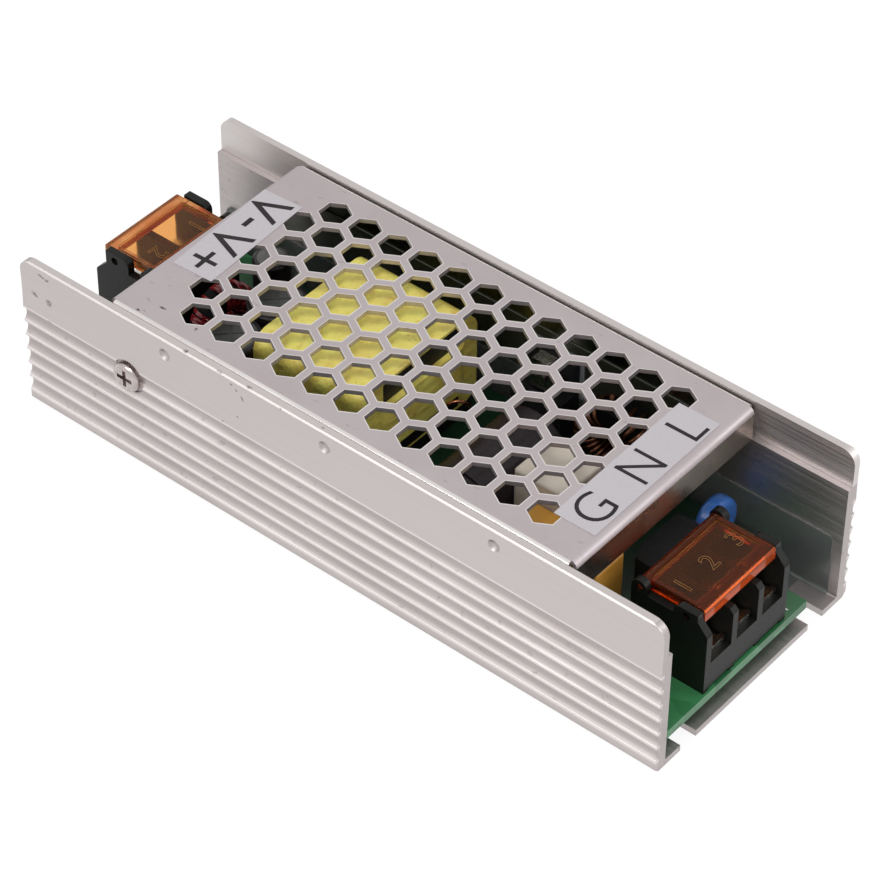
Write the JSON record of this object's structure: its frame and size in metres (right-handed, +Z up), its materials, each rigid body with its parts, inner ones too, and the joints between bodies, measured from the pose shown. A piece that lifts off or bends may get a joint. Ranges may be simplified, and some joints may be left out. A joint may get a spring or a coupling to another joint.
{
  "type": "enclosed led power supply",
  "caption": "Narrow power supply in a ribbed aluminium channel with a perforated cover and a lidded screw terminal block at each end.",
  "frame": {"origin": "middle of the channel's underside", "axes": "+X towards the input terminals, along the channel; +Z up through the cover; +Y across the channel, away from the wall that faces the picture"},
  "size_m": [0.126, 0.0492, 0.03],
  "materials": {
    "extruded_aluminium": "mill finish, fine lengthwise lines",
    "sheet_aluminium": "satin sheet",
    "white_label": "matte",
    "green_solder_mask": "satin solder mask on glass-fibre board",
    "white_nylon": "matte",
    "clear_film": "thin clear film",
    "black_moulding": "satin moulding",
    "amber_plastic": "clear amber moulding",
    "nickel_plated_steel": "bright plated",
    "black_ferrite": "matte",
    "red_enamelled_wire": "gloss enamel on copper wire",
    "dark_sleeve": "gloss sleeve, bare grey top",
    "yellow_tape": "polyester tape",
    "beige_plastic": "matte box",
    "yellow_plastic": "matte box",
    "copper_wire": "enamelled copper",
    "black_epoxy": "moulded epoxy",
    "blue_coating": "dipped coating",
    "grey_silicone": "thin silicone pad",
    "zinc_plated_steel": "zinc plated",
    "tan_coating": "conformal coating",
    "green_coating": "dipped coating"
  },
  "bodies": {
    "case": {"channel_extrusion": "extruded_aluminium", "top_cover": "sheet_aluminium", "output_label": "white_label", "input_label": "white_label", "circuit_board": "green_solder_mask", "board_spacers": "white_nylon", "insulation_film": "clear_film", "input_terminal_body": "black_moulding", "input_terminal_clamps": "nickel_plated_steel", "input_terminal_screws": "nickel_plated_steel", "output_terminal_body": "black_moulding", "output_terminal_clamps": "nickel_plated_steel", "output_terminal_screws": "nickel_plated_steel", "output_choke_core": "black_ferrite", "output_choke_winding": "red_enamelled_wire", "output_capacitor_near": "dark_sleeve", "output_capacitor_far": "dark_sleeve", "small_capacitor": "dark_sleeve", "transformer_core": "black_ferrite", "transformer_winding": "yellow_tape", "transformer_bobbin": "black_moulding", "bulk_capacitor": "dark_sleeve", "box_capacitor": "beige_plastic", "x_capacitor": "yellow_plastic", "line_choke_core": "black_ferrite", "line_choke_winding": "copper_wire", "bridge_rectifier": "black_epoxy", "varistor": "blue_coating", "power_transistor": "black_epoxy", "transistor_pad": "grey_silicone", "transistor_screw": "zinc_plated_steel", "transistor_nut": "zinc_plated_steel", "output_rectifier": "black_epoxy", "rectifier_pad": "grey_silicone", "rectifier_screw": "zinc_plated_steel", "rectifier_nut": "zinc_plated_steel", "optocoupler": "black_epoxy", "controller_chip": "black_epoxy", "y_capacitor": "blue_coating", "board_diodes": "black_epoxy", "board_resistors": "tan_coating", "fuse": "black_moulding", "thermistor": "green_coating"},
    "input_lid": {"input_terminal_lid": "amber_plastic"},
    "output_lid": {"output_terminal_lid": "amber_plastic"}
  },
  "joints": [
    {"name": "input_lid_hinge", "type": "hinge", "parent": "case", "child": "input_lid", "pos_m": [0.0493, -0.001, 0.0196], "axis": [0, -1, 0], "range_deg": [0, 100]},
    {"name": "output_lid_hinge", "type": "hinge", "parent": "case", "child": "output_lid", "pos_m": [-0.0514, 0.002, 0.0212], "axis": [0, 1, 0], "range_deg": [0, 100]}
  ]
}
